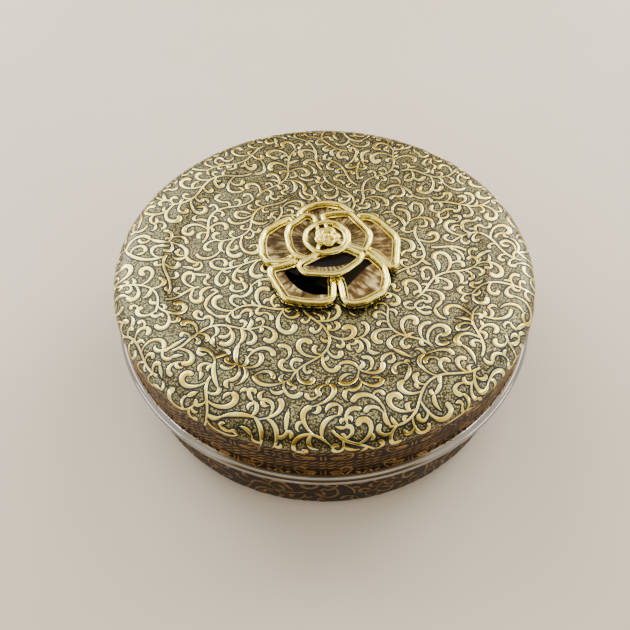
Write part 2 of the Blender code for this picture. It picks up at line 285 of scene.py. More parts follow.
# %% Lid outline
lid_low, lid_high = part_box("lid")
WALL = 0.8 * MM
EDGE_RADIUS = lid_high.x
LID_TOP = lid_high.z
CURL = 1.9 * MM                       # radius of the curled edge
CURL_HEIGHT = lid_low.z + CURL
SKIRT = EDGE_RADIUS - 3.2 * MM        # outside of the lid's side
COVE = 2.3 * MM
SHOULDER_RUN, SHOULDER_RISE = 9.5 * MM, 6.5 * MM
SHOULDER_FOOT = LID_TOP - SHOULDER_RISE
STEP_INNER, STEP_OUTER, STEP_DROP = 63.5 * MM, 71.5 * MM, 1.8 * MM
DISC_TOP = LID_TOP - STEP_DROP
SCREW_HOLE = 2.15 * MM
STEPS = 20                            # points over the step, and over the shoulder


def step_line(start, end, low, high, steps):
    """A soft S-shaped rise from (start, low) to (end, high)."""
    shares = [i / steps for i in range(steps + 1)]
    return [(start + (end - start) * t, low + (high - low) * t * t * (3 - 2 * t)) for t in shares]


def lid_outside():
    """The lid's outer line from the screw hole to the end of its cove."""
    line = [(SCREW_HOLE, DISC_TOP)]
    line += [(r * MM, DISC_TOP) for r in range(8, 62, 6)]
    line += step_line(STEP_INNER, STEP_OUTER, DISC_TOP, LID_TOP, STEPS)
    line += arc((SKIRT - SHOULDER_RUN, SHOULDER_FOOT), (SHOULDER_RUN, SHOULDER_RISE), 90, 0, STEPS)
    line += [(SKIRT, SHOULDER_FOOT - 5 * MM), (SKIRT, SHOULDER_FOOT - 10 * MM)]
    line += arc((SKIRT + COVE, CURL_HEIGHT + CURL + COVE), (COVE, COVE), 180, 238, 5)
    return line


def lid_inside():
    """The lid's inner line from the curl back to the screw hole."""
    inner = (SHOULDER_RUN - WALL, SHOULDER_RISE - WALL)
    line = [(SKIRT - WALL, CURL_HEIGHT + 1 * MM)]
    line += arc((SKIRT - SHOULDER_RUN, SHOULDER_FOOT), inner, 0, 90, 8)
    line += step_line(STEP_OUTER, STEP_INNER, LID_TOP - WALL, DISC_TOP - WALL, 6)
    line += [(40 * MM, DISC_TOP - WALL), (SCREW_HOLE, DISC_TOP - WALL)]
    return line


def curl_line():
    """The curled edge, from its top round the outside to its inner lip."""
    return arc((EDGE_RADIUS - CURL, CURL_HEIGHT), (CURL, CURL), 92, -150, 16)


lid = spin_profile("lid_sheet", lid_outside() + curl_line() + lid_inside(), 288, closed=True)
print("lid:", len(lid.data.polygons), "faces")

# %% [markdown]
# The base is a straight bowl that stands on a low pressed ring. Its rounded foot and rolled rim
# come from the same kind of outline. The rim reaches up inside the lid, so the lid's side slides
# down over it.

# %% Base
base_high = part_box("base")[1]
BASE_RADIUS = base_high.x
BASE_RIM = base_high.z
FOOT = 8 * MM                         # radius of the rounded bottom edge
BEAD = 1.0 * MM                       # radius of the rolled rim
FLOOR_LIFT = 0.6 * MM                 # the middle of the bottom stands clear of the table
FLOOR_EDGE, RING_EDGE = 60 * MM, 64 * MM


def base_profile():
    """From the middle of the underside, up the wall, over the rolled rim and back inside."""
    line = [(0, FLOOR_LIFT), (FLOOR_EDGE, FLOOR_LIFT), (RING_EDGE, 0), (BASE_RADIUS - FOOT, 0)]
    line += arc((BASE_RADIUS - FOOT, FOOT), (FOOT, FOOT), -84, 0, 10)
    line += [(BASE_RADIUS, 20 * MM), (BASE_RADIUS, 34 * MM), (BASE_RADIUS, BASE_RIM - 3 * MM)]
    line += arc((BASE_RADIUS - BEAD, BASE_RIM - BEAD), (BEAD, BEAD), 0, 200, 12)
    line += [(BASE_RADIUS - WALL, BASE_RIM - 3 * MM), (BASE_RADIUS - WALL, 30 * MM)]
    line += arc((BASE_RADIUS - FOOT, FOOT), (FOOT - WALL, FOOT - WALL), 0, -90, 8)
    line += [(RING_EDGE, WALL), (FLOOR_EDGE, WALL + FLOOR_LIFT), (0, WALL + FLOOR_LIFT)]
    return line


base = spin_profile("base_sheet", base_profile(), 240)
print("base:", len(base.data.polygons), "faces")

# %% [markdown]
# The print is a scroll ornament: long thin stems, and from them branches that curl into a bulb, with
# pointed leaves in the gaps. It is grown by rules, as a pattern drawer would: a branch is drawn only
# where it keeps its distance from all that is there. The field below holds, for a fine grid over the
# flat sheet, how far each cell is from the nearest stroke. All numbers here are in millimetres.

# %% The drawing field
CELL = 0.5
REACH = 8.0                           # how far from a stroke its distance is noted
FREE = 9.0                            # the distance noted where no stroke is near
STRIDE = 0.65                         # from one point of a stroke to the next


class Field:
    """Free room round each cell of a sheet. A wrapped sheet joins its left and right ends."""

    def __init__(self, width, height, inside, wrapped=False):
        self.size = (width, height)
        self.wrapped = wrapped
        self.xs = (np.arange(int(width / CELL)) + 0.5) * CELL - width / 2
        self.ys = (np.arange(int(height / CELL)) + 0.5) * CELL - height / 2
        self.room = np.where(inside(self.xs[:, None], self.ys[None, :]), FREE, -1.0)

    def spot(self, x, y):
        """The free room at a point, or -1 off the sheet."""
        width, height = self.size
        i = int((x + width / 2) // CELL)
        j = int((y + height / 2) // CELL)
        if self.wrapped:
            i %= len(self.xs)
        if not (0 <= i < len(self.xs) and 0 <= j < len(self.ys)):
            return -1.0
        return self.room[i, j]

    def mark(self, x, y, half_width):
        """Notes a round dab of ink in the cells about it."""
        width, height = self.size
        i = np.arange(int((x - REACH + width / 2) // CELL), int((x + REACH + width / 2) // CELL) + 1)
        j = np.arange(int((y - REACH + height / 2) // CELL), int((y + REACH + height / 2) // CELL) + 1)
        if not self.wrapped:
            i = i[(i >= 0) & (i < len(self.xs))]
        j = j[(j >= 0) & (j < len(self.ys))]
        away_x = (i + 0.5) * CELL - width / 2 - x
        away_y = (j + 0.5) * CELL - height / 2 - y
        away = np.hypot(away_x[:, None], away_y[None, :]) - half_width
        cells = np.ix_(i % len(self.xs), j)
        self.room[cells] = np.minimum(self.room[cells], away)


# %% [markdown]
# One stroke is a list of (x, y, half width). It starts at a point with a heading, and its heading
# turns a little at each stride. A curl turns faster towards its end and swells into a bulb. A leaf
# is widest in its middle. Both widths are shares of the widest, at a share t of the length.

# %% Strokes


def curl_width(t):
    """Thin where it leaves its stem, and full from about three quarters on."""
    return 0.26 + 0.74 * min(1.0, t / 0.72) ** 1.25


def leaf_width(t):
    """Widest a little before the middle, and pointed at the end."""
    return max(0.1, 0.22 + 0.8 * math.sin(math.pi * t ** 0.85) - 0.2 * t)


def grow(start, heading, length, turn_first, turn_last, half_width, width):
    """A stroke. The turns are in degrees per mm at its start and at its end. A curl's end is round:
    its last points lie closer together, and their widths follow a half circle."""
    x, y = start
    count = max(5, round(length / STRIDE))
    shares = [i / count for i in range(count + 1)]
    cap = half_width / length if width is curl_width else 0     # the round end's share of the length
    if cap:
        shares = [t for t in shares if t < 1 - 1.3 * cap] + [1 - cap * s for s in (1, 0.66, 0.3, 0.08, 0)]
    points = []
    for t, after in zip(shares, shares[1:] + [1.0]):
        bulb = math.sqrt(max(0.0, 1 - (1 - (1 - t) / cap) ** 2)) if cap and t > 1 - cap else 1.0
        points.append((x, y, half_width * width(t) * max(0.06, bulb)))
        step = (after - t) * length
        heading += math.radians(turn_first + (turn_last - turn_first) * t * t) * step
        x += math.cos(heading) * step
        y += math.sin(heading) * step
    return points


def fits(field, points, gap):
    """True where the stroke stays clear of the others, apart from where it leaves its parent."""
    path = 0.0
    for (x0, y0, _), (x, y, half) in zip(points, points[1:]):
        path += math.hypot(x - x0, y - y0)
        if field.spot(x, y) < half + min(gap, 0.45 * path - 0.6):
            return False
    return True


def draw(field, strokes, points):
    """Keeps a stroke and notes it in the field."""
    for x, y, half in points[1:]:
        field.mark(x, y, half)
    strokes.append(points)


# %% [markdown]
# The ornament grows in three rounds, as a vine does. First come long swaying stems. A stem starts
# only where it has much room, sways from side to side, and ends before it meets another. The random
# numbers have a fixed start, so the same ornament is drawn each time.

# %% Stems
STEM_ROOM, STEM_CLEAR = 5.5, 2.4      # mm of room to start a stem, and to carry on
SHORTEST_STEM = 12


def wander(field, rnd, stems, inside_point):
    """Long thin stems that sway from side to side."""
    found = []
    for _ in range(4000):
        x, y = inside_point(rnd)
        if len(found) == stems:
            break
        if field.spot(x, y) < STEM_ROOM:
            continue
        heading = rnd.uniform(0, 2 * math.pi)
        turn = rnd.choice((-1, 1)) * rnd.uniform(5.0, 7.5)
        period = rnd.uniform(30, 50)
        path = 0.0
        points = []
        wanted = rnd.uniform(26, 55)
        while path < wanted and field.spot(x, y) > STEM_CLEAR:
            points.append((x, y, 0.48 - 0.14 * path / wanted))
            heading += math.radians(turn * math.cos(2 * math.pi * path / period)) * STRIDE
            x += math.cos(heading) * STRIDE
            y += math.sin(heading) * STRIDE
            path += STRIDE
        if path > SHORTEST_STEM:
            draw(field, found, points)
    return found


# %% [markdown]
# Then every stem and curl sends out branches to both sides. A branch is the largest curl that fits,
# so big curls fill the open stretches and small ones the narrow places. Where none fits, it is a
# leaf.

# %% Branches
CURL_SIZES = (1.6, 1.3, 1.05, 0.85, 0.68, 0.54)
LEAF_SIZES = (1.25, 0.95, 0.7, 0.5)
GAP = 0.72                            # mm left between a branch and the other strokes


def branch(field, rnd, point, heading, side, strokes):
    """Tries a curl, larger ones first, and then a leaf. It returns the curl, if one fits."""
    for size in CURL_SIZES:
        length = size * rnd.uniform(11.0, 13.5)
        total = rnd.uniform(215, 300) * (1.3 if size > 1.3 else 1.05)
        start = heading + side * math.radians(rnd.uniform(16, 36))
        half = min(1.06, (0.6 + 0.42 * size) * rnd.uniform(0.86, 1.0))
        points = grow(point, start, length, side * total / length * 0.3, side * total / length * 2.1,
                      half, curl_width)
        if fits(field, points, GAP):
            draw(field, strokes, points)
            return points
    for size in LEAF_SIZES:
        length = size * rnd.uniform(5.8, 7.4)
        start = heading + side * math.radians(rnd.uniform(26, 44))
        bend = side * rnd.choice((-1, 1, 1)) * rnd.uniform(4, 11)
        points = grow(point, start, length, bend, 2 * bend, 0.52 + 0.4 * size, leaf_width)
        if fits(field, points, GAP * 0.9):
            draw(field, strokes, points)
            return None
    return None


# %% [markdown]
# Last, each gap that is still open gets a curl or leaf of its own, the widest gap first. It leaves
# the nearest stroke along that stroke's own heading and bends into the gap, so that it looks grown.

# %% Gaps
OPEN = 1.25                           # mm of free room that counts as a gap to fill
TRIES = 30
CURL_SHARE = 0.45                     # how many of them are curls


def headed(points):
    """(x, y, heading) of each inner point of a stroke."""
    return [(b[0], b[1], math.atan2(b[1] - a[1], b[0] - a[0])) for a, b in zip(points, points[1:-1])]


def fill_gaps(field, rnd, strokes):
    """Draws a curl or a leaf into each gap that is still open. It leaves a nearby stroke along it."""
    anchors = np.array([place for points in strokes for place in headed(points)])
    left = field.room.copy()
    for _ in range(5000):
        i, j = np.unravel_index(int(np.argmax(left)), left.shape)
        room = left[i, j]
        if room < OPEN:
            break
        middle = (field.xs[i], field.ys[j])
        away = np.hypot(anchors[:, 0] - middle[0], anchors[:, 1] - middle[1])
        near = np.argsort(away)[:90]
        added = None
        for _ in range(TRIES):
            number = near[rnd.randrange(len(near))]
            x, y, heading = anchors[number]
            to = math.atan2(middle[1] - y, middle[0] - x)
            off = (to - heading + math.pi) % (2 * math.pi) - math.pi
            if abs(off) > math.radians(100):
                continue
            lean = 0.6 * off
            bend = math.degrees(2 * lean) / max(away[number], 1.5)
            if rnd.random() < CURL_SHARE and room > 1.9:
                length = away[number] + rnd.uniform(3.0, 6.0)
                curl = math.copysign(rnd.uniform(260, 420), lean) / length
                points = grow((x, y), to - lean, length, 0.6 * bend, curl, rnd.uniform(0.7, 0.95),
                              curl_width)
            else:
                length = away[number] + rnd.uniform(0.8, 2.0)
                points = grow((x, y), to - lean, length, bend, bend, rnd.uniform(0.7, 0.95), leaf_width)
            if fits(field, points, GAP * 0.85):
                draw(field, strokes, points)
                added = points
                break
        if added:
            anchors = np.vstack([anchors, headed(added)])
            left = np.minimum(left, field.room)
        else:
            left[max(0, i - 2):i + 3, max(0, j - 2):j + 3] = -1
    return strokes


def scrolls(field, seed, stems, inside_point):
    """The whole ornament of a field, as a list of strokes."""
    rnd = random.Random(seed)
    strokes = wander(field, rnd, stems, inside_point)
    queue = [(points, 0) for points in strokes]
    while queue:
        points, depth = queue.pop(0)
        i = 3 if depth == 0 else max(3, len(points) // 4)
        last = len(points) - 1 if depth == 0 else int(len(points) * 0.7)
        side = rnd.choice((-1, 1))
        while i <= last:
            x, y, _ = points[i]
            heading = math.atan2(y - points[i - 1][1], x - points[i - 1][0])
            for way in (side, -side):
                curl = branch(field, rnd, (x, y), heading, way, strokes)
                if curl:
                    queue.append((curl, depth + 1))
            side = -side
            i += 5 + rnd.randint(-1, 1)
    return fill_gaps(field, rnd, strokes)


# %% [markdown]
# The lid's pattern is drawn on a flat disc, as on the flat sheet before pressing. Distance from the
# middle on the disc is distance along the lid's outline, so the scrolls run over the step and the
# shoulder without stretching.

# %% The lid's scrolls
sheet_line = np.array(lid_outside()) / MM
sheet_line[0] = (0.0, sheet_line[0][1])       # measured from the axis, as if there were no hole
sheet_run = np.concatenate([[0], np.cumsum(np.hypot(*np.diff(sheet_line, axis=0).T))])
SIDE_POINTS = 12                      # the line's last points: the shoulder's foot, side and cove
PRINT_END = float(np.interp(-(SHOULDER_FOOT / MM - 0.2), -sheet_line[-SIDE_POINTS:, 1],
                            sheet_run[-SIDE_POINTS:]))
SCREEN = 14.0                         # radius under the rose that needs no print
LID_SEED, LID_STEMS = 7, 40


def on_disc(rnd):
    """A random point of the print."""
    angle = rnd.uniform(0, 2 * math.pi)
    reach = math.sqrt(rnd.uniform(SCREEN ** 2, PRINT_END ** 2))
    return reach * math.cos(angle), reach * math.sin(angle)


disc = Field(2 * PRINT_END + 2, 2 * PRINT_END + 2,
             lambda x, y: (np.hypot(x, y) > SCREEN) & (np.hypot(x, y) < PRINT_END + 0.6))
lid_strokes = scrolls(disc, LID_SEED, LID_STEMS, on_disc)
print("lid scrolls:", len(lid_strokes), "strokes, out to", round(PRINT_END, 1), "mm along the sheet")

# %% [markdown]
# Each stroke becomes a thin raised strip with bevelled sides: a curve with a small flat section as
# its bevel, swept and converted to a mesh. A darker, wider strip under it is the ink outline. Both
# are then laid on the sheet: a function says where a flat point lands and which way is out there.
# A painted pattern would need an image; strips keep sharp edges and catch the light like thick ink.
# They are about 0.1 mm thick, thicker than real ink, so that their edges show.

# %% Strips
SECTIONS = {
    "gilt": [(-1, 0), (-0.7, 1), (0, 1), (0.7, 1), (1, 0)],
    "ink": [(-1, 0), (-0.55, 1), (0, 1), (0.55, 1), (1, 0)],
}
LEVELS = {"gilt": (0.045, 0.12), "ink": (0.006, 0.018)}   # mm above the sheet: foot and crest
STAGGER = {"gilt": 5, "ink": 1}       # crossing strokes lie at this many slightly different heights
CODE = 100.0                          # keeps a stroke's number in its z until it is laid down


def strip_section(kind):
    """The closed section of a strip, one unit to each side."""
    deselect_all()
    curve = bpy.data.curves.new("section_" + kind, "CURVE")
    spline = curve.splines.new("POLY")
    spline.points.add(len(SECTIONS[kind]) - 1)
    for point, (x, y) in zip(spline.points, SECTIONS[kind]):
        point.co = (x, y, 0, 1)
    spline.use_cyclic_u = True
    section = bpy.data.objects.new("section_" + kind, curve)
    bpy.context.scene.collection.objects.link(section)
    return section


# %% [markdown]
# All strokes of one colour become one curve object with many splines, so they are swept and made a
# mesh in one go. Gilt strokes take turns at five slightly different heights, so that two that cross
# seldom share one plane, which would show as specks. Until a stroke is laid down, its turn is kept
# in its height, far above the strip's own thickness.

# %% Laying strips


def outline_end(stroke, widen):
    """Three more points that round off a widened strip beyond its stroke's end."""
    (x0, y0, _), (x, y, half) = stroke[-2:]
    heading = math.atan2(y - y0, x - x0)
    return [(x + math.cos(heading) * widen * s, y + math.sin(heading) * widen * s,
             (half + widen) * math.sqrt(1 - s * s) - widen) for s in (0.5, 0.8, 0.97)]


def lay_strips(name, strokes, kind, widen, land, material):
    """Sweeps the strokes as strips of this kind, this much wider, and lays them on a surface."""
    section = strip_section(kind)
    curve = bpy.data.curves.new(name, "CURVE")
    curve.dimensions = "3D"
    curve.twist_mode = "Z_UP"
    curve.bevel_mode = "OBJECT"
    curve.bevel_object = section
    curve.use_fill_caps = True
    for number, stroke in enumerate(strokes):
        if widen:
            stroke = stroke + outline_end(stroke, widen)
        spline = curve.splines.new("POLY")
        spline.points.add(len(stroke) - 1)
        for point, (x, y, half) in zip(spline.points, stroke):
            point.co = (x, y, CODE * (number % STAGGER[kind]), 1)
            point.radius = half + widen
    strips = bpy.data.objects.new(name, curve)
    bpy.context.scene.collection.objects.link(strips)
    deselect_all()
    strips.select_set(True)
    bpy.context.view_layer.objects.active = strips
    bpy.ops.object.convert(target="MESH")
    strips = bpy.context.object
    strips.name = name
    bpy.data.objects.remove(section)
    count = len(strips.data.vertices)
    flat = np.empty(count * 3)
    strips.data.vertices.foreach_get("co", flat)
    flat = flat.reshape(-1, 3)
    foot, crest = LEVELS[kind]
    # A section's points lie 0 to about 1 above the code, and only the foot's lie at 0.
    number = np.round((flat[:, 2] - 0.9) / CODE)
    raised = np.where(flat[:, 2] - CODE * number > 0.005, crest, foot) + 0.004 * number
    strips.data.vertices.foreach_set("co", (land(flat[:, 0], flat[:, 1], raised) * MM).ravel())
    strips.data.update()
    bpy.ops.object.mode_set(mode="EDIT")
    bpy.ops.mesh.select_all(action="SELECT")
    bpy.ops.mesh.normals_make_consistent(inside=False)
    bpy.ops.object.mode_set(mode="OBJECT")
    bpy.ops.object.shade_smooth_by_angle(angle=math.radians(28))
    strips.data.materials.append(material)
    triangles = sum(len(face.vertices) - 2 for face in strips.data.polygons)
    print(name, len(strokes), "strokes,", triangles, "triangles")
    return strips


# %% [markdown]
# The flat strips land on the bent sheet in two ways. On the lid's top, a point keeps its direction
# from the middle, and its distance becomes a distance along the sheet. On the side, x runs round the
# wall and y up and down it. In both, the strip's thickness stands square to the sheet.

# %% Landing places
sheet_way = np.gradient(sheet_line, sheet_run, axis=0)
STEP_BEND = float(np.interp(STEP_INNER / MM + 0.5, sheet_line[:30, 0], sheet_run[:30]))
BEND_WIDTH = 2.5
SIDE_START = PRINT_END + 0.2          # where the side begins along the sheet


def off_sheet(run, raised):
    """(r, z) of the points this far along the lid's sheet and raised this far off it."""
    r = np.interp(run, sheet_run, sheet_line[:, 0]) - raised * np.interp(run, sheet_run, sheet_way[:, 1])
    z = np.interp(run, sheet_run, sheet_line[:, 1]) + raised * np.interp(run, sheet_run, sheet_way[:, 0])
    return r, z


def on_lid(x, y, raised):
    """Strips are up to twice as thick where the sheet bends up to the ring, so that none sinks in."""
    run = np.hypot(x, y)
    r, z = off_sheet(run, raised * (1 + np.exp(-((run - STEP_BEND) / BEND_WIDTH) ** 2)))
    return np.stack([r * x / run, r * y / run, z], axis=1)


def round_wall(x, radius, r, z):
    """Wraps the distance x round a wall of this radius, with x = 0 in front."""
    return np.stack([r * np.sin(x / radius), -r * np.cos(x / radius), z], axis=1)


def on_side(x, y, raised):
    """y is 0 at the top of the side and falls along the sheet."""
    return round_wall(x, SKIRT / MM, *off_sheet(SIDE_START - y, raised))


# %% [markdown]
# The sheet is steel printed with metallic inks under a thin clear coat: an olive-grey ground of
# fine stippling, pale gilt scrolls and a blue-black outline. The metal shines through the ink, so
# the inks are metallic, and the gilt shows the room in a pale yellow. The real stipple is finer; it
# is drawn about 0.7 mm from dot to dot, so that it shows.

# %% Printed sheet
STIPPLE = 0.72                        # mm from dot to dot


def stippled(name, dark, light, roughness, **constants):
    """Metallic ink over stippled steel: dots with light crests, and cloudy toning over several mm."""
    material, tree, sockets, place = new_material(name, Metallic=0.9, Roughness=roughness, **constants)
    dots = add_node(tree, "TexVoronoi", {"Vector": place, "Scale": 1 / (STIPPLE * MM)}, out="Distance")
    crest = add_node(tree, "ValToRGB", {0: dots}, stops=[(0.15, "#FFFFFF"), (0.62, "#000000")])
    cloud = add_node(tree, "TexNoise", {"Vector": place, "Scale": 1 / (7 * MM), "Detail": 5.0})
    share = add_node(tree, "Math", {0: crest, 1: cloud}, operation="MULTIPLY")
    add_node(tree, "Mix", {0: share, 6: colour(dark), 7: colour(light)}, data_type="RGBA", out=2,
             to=sockets["Base Color"])
    add_node(tree, "Bump", {"Height": crest, "Strength": 0.7, "Distance": 0.1 * MM},
             to=sockets["Normal"])
    return material


def inked(name, low, high, roughness, **constants):
    """Ink in one colour, cloudy over a few mm and finely grained."""
    material, tree, sockets, place = new_material(name, Roughness=roughness, **constants)
    cloud = add_node(tree, "TexNoise", {"Vector": place, "Scale": 1 / (5 * MM), "Detail": 6.0})
    add_node(tree, "ValToRGB", {0: cloud}, stops=[(0.35, low), (0.65, high)], to=sockets["Base Color"])
    grain = add_node(tree, "TexNoise", {"Vector": place, "Scale": 1 / (0.5 * MM), "Detail": 2.0})
    add_node(tree, "Bump", {"Height": grain, "Strength": 0.25, "Distance": 0.05 * MM},
             to=sockets["Normal"])
    return material


# The ground is half dull, the gilt a soft mirror, and the outline ink nearly matt.
lid_ground = stippled("stippled_olive_ink_on_steel", "#38331F", "#DAD19C", 0.34,
                      Coat_Weight=0.12, Coat_Roughness=0.12)
gilt_ink = inked("pale_gilt_ink_on_steel", "#D8BC48", "#F8ED8C", 0.2, Metallic=0.97, Coat_Weight=0.05)
dark_ink = inked("blue_black_ink_on_steel", "#070914", "#141A2C", 0.45, Coat_Weight=0.12,
                 Coat_Roughness=0.14, Specular_IOR_Level=0.25)

lid_gilt = lay_strips("lid_scrolls", lid_strokes, "gilt", 0.0, on_lid, gilt_ink)
lid_ink = lay_strips("lid_scroll_outlines", lid_strokes, "ink", 0.74, on_lid, dark_ink)

# %% [markdown]
# Round the lid's side run woven-looking bands: twisted rope lines, and rows of small scrolls that
# mirror about double bars. One half tile is drawn once, mirrored and repeated round the side. The
# ground is brown lacquer, which stays dark, and the ornament an amber gilt that gleams a little.

# %% The side's bands
SIDE = SKIRT / MM
ROUND = 2 * math.pi * SIDE
TILES = 17
TILE = ROUND / TILES
ROPE = 3.3                            # mm from strand to strand
ROPE_STRAND, ROPE_HALF, ROPE_TILT = 3.6, 0.44, 22


def dash(x, y, long, tilt, half):
    """A short leaf centred on (x, y)."""
    way = math.radians(tilt)
    start = (x - math.cos(way) * long / 2, y - math.sin(way) * long / 2)
    count = 5
    return [(start[0] + math.cos(way) * long * i / count, start[1] + math.sin(way) * long * i / count,
             half * leaf_width(i / count)) for i in range(count + 1)]


def half_tile(y, tall):
    """Scrolls from the double bar at x = 0 to the cross at half a tile, for a row of this height."""
    up = tall / 2
    strokes = [dash(0.8, y, tall * 0.8, 90, 0.42)]
    strokes.append(grow((2.1, y - 0.2), 0.15, 6.8, 0, -5, 0.6, leaf_width))
    for x in (2.8, 4.4, 6.0):
        strokes.append(grow((x, y), math.radians(50), up * 1.1, -12, -12, 0.44, leaf_width))
        strokes.append(grow((x, y - 0.2), math.radians(-50), up * 1.0, 12, 12, 0.44, leaf_width))
    strokes.append(grow((7.6, y - up * 0.7), 0.1, up * 4.9, 14, 44, 0.6, curl_width))
    strokes.append(grow((7.8, y + up * 0.75), -0.2, up * 1.5, 10, 10, 0.5, leaf_width))
    strokes.append(dash(13.4, y + up * 0.45, 2.1, 20, 0.46))
    strokes.append(dash(13.4, y - up * 0.45, 2.1, -20, 0.46))
    strokes.append(dash(TILE / 2 - 1.0, y + up * 0.45, 2.3, -45, 0.46))
    strokes.append(dash(TILE / 2 - 1.0, y - up * 0.45, 2.3, 45, 0.46))
    return strokes


def tile_row(y, tall):
    """A row of tiles all round the side."""
    half = half_tile(y, tall)
    mirrored = [[(-x, v, w) for x, v, w in stroke] for stroke in half]
    return [[(x + TILE * i, v, w) for x, v, w in stroke]
            for i in range(TILES) for stroke in half + mirrored]


def rope(y):
    """A line of tilted strands all round the side."""
    count = round(ROUND / ROPE)
    return [dash(ROUND * i / count, y, ROPE_STRAND, ROPE_TILT, ROPE_HALF) for i in range(count)]


ROPE_LINES = [-0.9, -8.2, -10.5, -12.8]       # mm down from the side's top
SCROLL_ROWS = [(-4.5, 4.6), (-16.9, 5.0)]     # middle and height
band_strokes = [stroke for y in ROPE_LINES for stroke in rope(y)]
band_strokes += [stroke for y, tall in SCROLL_ROWS for stroke in tile_row(y, tall)]
brown_ink = inked("brown_lacquer_on_steel", "#0C0401", "#1C0C03", 0.45, Specular_IOR_Level=0.1)
amber_ink = inked("amber_gilt_ink_on_steel", "#5A4016", "#906C30", 0.36, Metallic=0.8)
bands = lay_strips("lid_side_bands", band_strokes, "gilt", 0.0, on_side, amber_ink)

# %% [markdown]
# The base carries the same scrolls in a browner, duller gilt on a dark brown ground. A quarter of its
# wall is drawn and repeated four times, and the drawing field is wrapped so that the quarters join.

# %% The base's scrolls
QUARTER = math.pi * BASE_RADIUS / MM / 2
WALL_PRINT = (4.0, 55.0)              # mm, from the foot up to under the rolled rim
WALL_SEED, WALL_STEMS = 11, 10
wall_height = WALL_PRINT[1] - WALL_PRINT[0]
wall_field = Field(QUARTER, wall_height, lambda x, y: (x < QUARTER) & (y < wall_height), wrapped=True)


def on_quarter(rnd):
    """A random point of the quarter."""
    return rnd.uniform(-QUARTER / 2, QUARTER / 2), rnd.uniform(-wall_height / 2, wall_height / 2)


quarter_strokes = scrolls(wall_field, WALL_SEED, WALL_STEMS, on_quarter)
wall_strokes = [[(x + QUARTER * i, y + sum(WALL_PRINT) / 2, w) for x, y, w in stroke]
                for i in range(4) for stroke in quarter_strokes]


def on_base(x, y, raised):
    """Round the wall, and under a height of FOOT round the bottom edge."""
    radius = BASE_RADIUS / MM
    foot = FOOT / MM
    bend = np.clip((foot - y) / foot, 0, 1.4)
    r = np.where(y > foot, radius, radius - foot + foot * np.cos(bend)) + raised * np.cos(bend)
    z = np.where(y > foot, y, foot - foot * np.sin(bend)) - raised * np.sin(bend)
    return round_wall(x, radius, r, z)


base_ground = stippled("stippled_brown_ink_on_steel", "#0A0401", "#30200A", 0.5)
wall_gilt_ink = inked("brown_gilt_ink_on_steel", "#4E3610", "#7E5C22", 0.38, Metallic=0.8)
wall_gilt = lay_strips("base_scrolls", wall_strokes, "gilt", 0.0, on_base, wall_gilt_ink)
wall_ink = lay_strips("base_scroll_outlines", wall_strokes, "ink", 0.45, on_base, brown_ink)

# %% [markdown]
# The curled edge and the inside are bare stainless steel. The edge is polished almost to a mirror,
# and the inside is brushed, so it reflects only soft light. Both were turned on a lathe, which left
# fine rings about the axis. The rings are drawn from the distance to that axis, about five times
# coarser than real ones so that they show.

# %% Bare steel


def polished(name, tint, roughness, apart, centre=(0, 0), light="#F4F5F6"):
    """Steel turned on a lathe about the centre, with rings this far apart in mm, a little smeared."""
    material, tree, sockets, place = new_material(name, Metallic=1.0, Roughness=roughness)
    moved = add_node(tree, "Mapping", {"Vector": place, "Location": (-centre[0], -centre[1], 0)})
    x, y, z = add_node(tree, "SeparateXYZ", {0: moved}).node.outputs
    flat = add_node(tree, "CombineXYZ", {0: x, 1: y})
    reach = add_node(tree, "VectorMath", {0: flat}, out="Value", operation="LENGTH")
    ring = add_node(tree, "CombineXYZ", {0: reach, 2: z})
    rings = add_node(tree, "TexNoise", {"Vector": ring, "Scale": 1 / (apart * MM), "Detail": 3.0})
    smears = add_node(tree, "TexNoise", {"Vector": place, "Scale": 1 / (14 * MM), "Detail": 3.0})
    mixed = add_node(tree, "Math", {0: rings, 1: smears}, operation="MULTIPLY")
    add_node(tree, "Mix", {0: mixed, 6: colour(tint), 7: colour(light)}, data_type="RGBA", out=2,
             to=sockets["Base Color"])
    add_node(tree, "Bump", {"Height": rings, "Strength": 0.1, "Distance": 0.05 * MM},
             to=sockets["Normal"])
    return material


edge_steel = polished("polished_stainless_edge", "#77726F", 0.09, 0.4, light="#C6C2BF")
inside_steel = polished("brushed_stainless_inside", "#A9ABAF", 0.24, 0.5)


def lid_zone(centre, normal):
    """0 the print, 1 the side's lacquer, 2 the curled edge, 3 the inside."""
    reach = math.hypot(centre.x, centre.y)
    outward = (normal.x * centre.x + normal.y * centre.y) / max(reach, 1e-6)
    if centre.z < CURL_HEIGHT + CURL + 0.5 * COVE and reach > SKIRT - 0.1 * MM:
        return 2
    if reach < SKIRT - WALL / 2 and normal.z < 0.02 or outward < -0.5:
        return 3
    return 1 if centre.z < SHOULDER_FOOT - 0.2 * MM else 0


def base_zone(centre, normal):
    """0 the printed wall, 1 bare steel: the inside, the bottom and the rolled rim."""
    outward = normal.x * centre.x + normal.y * centre.y
    in_middle = math.hypot(centre.x, centre.y) < BASE_RADIUS - FOOT
    return int(outward <= 0 or in_middle or centre.z > BASE_RIM - 2 * MM)


give_materials(lid, [lid_ground, brown_ink, edge_steel, inside_steel], lid_zone)
give_materials(base, [base_ground, inside_steel], base_zone)
print("finishes on the lid:", len(lid.data.materials), "and on the base:", len(base.data.materials))
